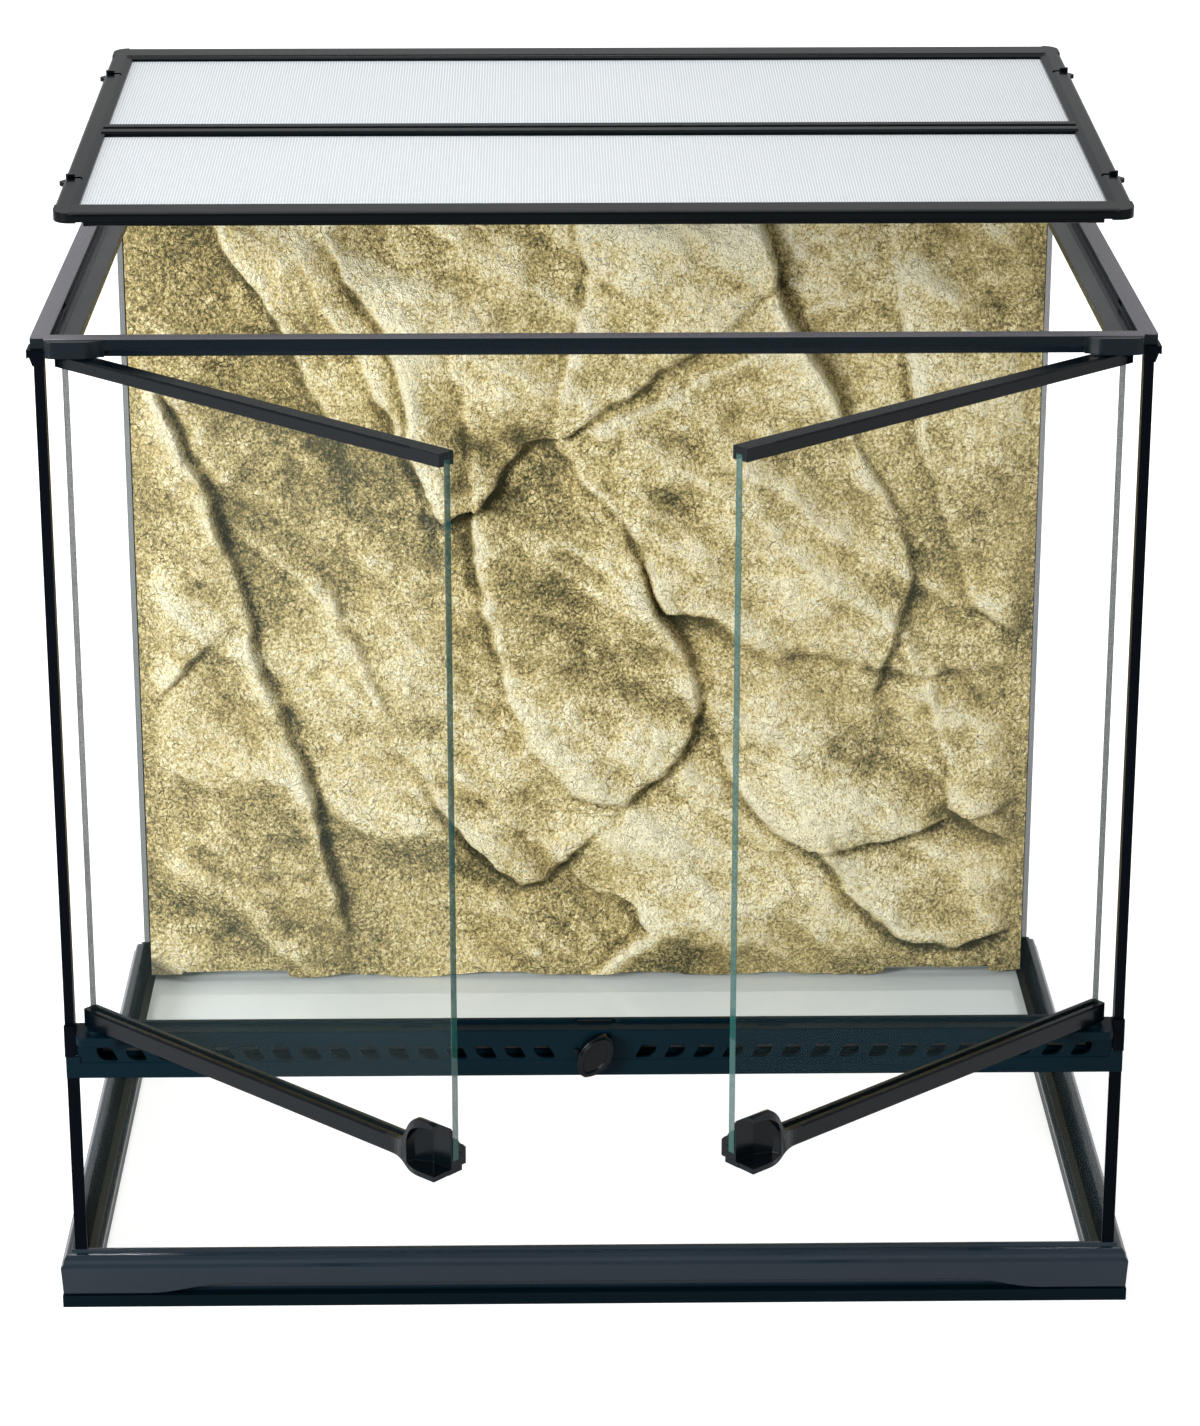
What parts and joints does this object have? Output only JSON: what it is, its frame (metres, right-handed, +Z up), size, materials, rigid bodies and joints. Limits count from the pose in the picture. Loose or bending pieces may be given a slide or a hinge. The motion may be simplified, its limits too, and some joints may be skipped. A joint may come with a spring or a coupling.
{
  "type": "reptile terrarium",
  "caption": "Front-opening glass terrarium with hinged doors, lift-off screen lid, vent strip with turning lock, cable inlets and moulded rock background.",
  "frame": {"origin": "middle of the base's underside", "axes": "+X to the right seen from the front, +Y to the back, +Z up"},
  "size_m": [0.612, 0.6573, 0.6554],
  "materials": {
    "black_plastic": "satin moulded black plastic with a blue cast",
    "gloss_black": "gloss",
    "pin_plastic": "satin",
    "clear_glass": "clear float glass with green edges",
    "black_sealant": "soft gloss",
    "pale_screen": "fine woven wire",
    "rock_foam": "coloured foam with a gritty, speckled face"
  },
  "bodies": {
    "tank": {"foot_frame": "black_plastic", "base_plinth": "black_plastic", "floor_glass": "clear_glass", "left_glass": "clear_glass", "right_glass": "clear_glass", "rear_glass": "clear_glass", "front_glass": "clear_glass", "left_post_trim": "black_plastic", "right_post_trim": "black_plastic", "left_lower_trim": "black_plastic", "right_lower_trim": "black_plastic", "floor_seams": "black_sealant", "rear_seams": "black_sealant", "vent_strip": "black_plastic", "vent_screen": "pale_screen", "left_strip_cap": "black_plastic", "right_strip_cap": "black_plastic", "top_rim": "black_plastic", "left_corner_cap": "black_plastic", "right_corner_cap": "black_plastic", "rock_background": "rock_foam", "lock_stop_pin": "pin_plastic"},
    "left_door": {"left_door_glass": "clear_glass", "left_door_top_bar": "black_plastic", "left_door_handle_bar": "black_plastic", "left_door_catch": "black_plastic", "left_door_pins": "pin_plastic"},
    "right_door": {"right_door_glass": "clear_glass", "right_door_top_bar": "black_plastic", "right_door_handle_bar": "black_plastic", "right_door_catch": "black_plastic", "right_door_pins": "pin_plastic"},
    "lid_tongue": {"lid_tongue": "black_plastic"},
    "lid": {"lid_frame": "black_plastic", "lid_cross_bar": "black_plastic", "lid_front_screen": "pale_screen", "lid_rear_screen": "pale_screen"},
    "clip_front_left": {"clip_front_left": "black_plastic"},
    "clip_front_right": {"clip_front_right": "black_plastic"},
    "clip_rear_left": {"clip_rear_left": "black_plastic"},
    "clip_rear_right": {"clip_rear_right": "black_plastic"},
    "lock_knob": {"lock_knob": "gloss_black"},
    "lock_bolt": {"lock_bolt": "pin_plastic"},
    "inlet_cover_1": {"inlet_cover_1": "black_plastic"},
    "inlet_cover_2": {"inlet_cover_2": "black_plastic"},
    "inlet_cover_3": {"inlet_cover_3": "black_plastic"},
    "inlet_cover_4": {"inlet_cover_4": "black_plastic"}
  },
  "joints": [
    {"name": "left_door_swing", "type": "hinge", "parent": "tank", "child": "left_door", "pos_m": [-0.28, -0.224, 0.3], "axis": [0, 0, -1], "range_deg": [-43, 57]},
    {"name": "right_door_swing", "type": "hinge", "parent": "tank", "child": "right_door", "pos_m": [0.28, -0.224, 0.3], "axis": [0, 0, 1], "range_deg": [-41, 59]},
    {"name": "lid_lift", "type": "slide", "parent": "tank", "child": "lid_tongue", "axis": [0, 0, 1], "range_m": [-0.065, 0.06]},
    {"name": "lid_tilt", "type": "hinge", "parent": "lid_tongue", "child": "lid", "pos_m": [0, -0.216, 0.631], "axis": [1, 0, 0], "range_deg": [-3, 8]},
    {"name": "clip_front_left_slide", "type": "slide", "parent": "lid", "child": "clip_front_left", "axis": [-1, 0, 0], "range_m": [-0.002, 0.005]},
    {"name": "clip_front_right_slide", "type": "slide", "parent": "lid", "child": "clip_front_right", "axis": [1, 0, 0], "range_m": [-0.002, 0.005]},
    {"name": "clip_rear_left_slide", "type": "slide", "parent": "lid", "child": "clip_rear_left", "axis": [-1, 0, 0], "range_m": [-0.002, 0.005]},
    {"name": "clip_rear_right_slide", "type": "slide", "parent": "lid", "child": "clip_rear_right", "axis": [1, 0, 0], "range_m": [-0.002, 0.005]},
    {"name": "lock_turn", "type": "hinge", "parent": "tank", "child": "lock_knob", "pos_m": [0, -0.228, 0.1557], "axis": [0, -1, 0], "range_deg": [0, 50]},
    {"name": "bolt_lift", "type": "slide", "parent": "tank", "child": "lock_bolt", "axis": [0, 0, 1], "range_m": [0, 0.00456]},
    {"name": "inlet_cover_1_slide", "type": "slide", "parent": "tank", "child": "inlet_cover_1", "axis": [1, 0, 0], "range_m": [0, 0.038]},
    {"name": "inlet_cover_2_slide", "type": "slide", "parent": "tank", "child": "inlet_cover_2", "axis": [1, 0, 0], "range_m": [0, 0.038]},
    {"name": "inlet_cover_3_slide", "type": "slide", "parent": "tank", "child": "inlet_cover_3", "axis": [1, 0, 0], "range_m": [0, 0.038]},
    {"name": "inlet_cover_4_slide", "type": "slide", "parent": "tank", "child": "inlet_cover_4", "axis": [1, 0, 0], "range_m": [0, 0.038]}
  ],
  "couplings": [
    {"joint": "lock_turn", "follows": "bolt_lift", "rad_per_m": 191.19}
  ]
}
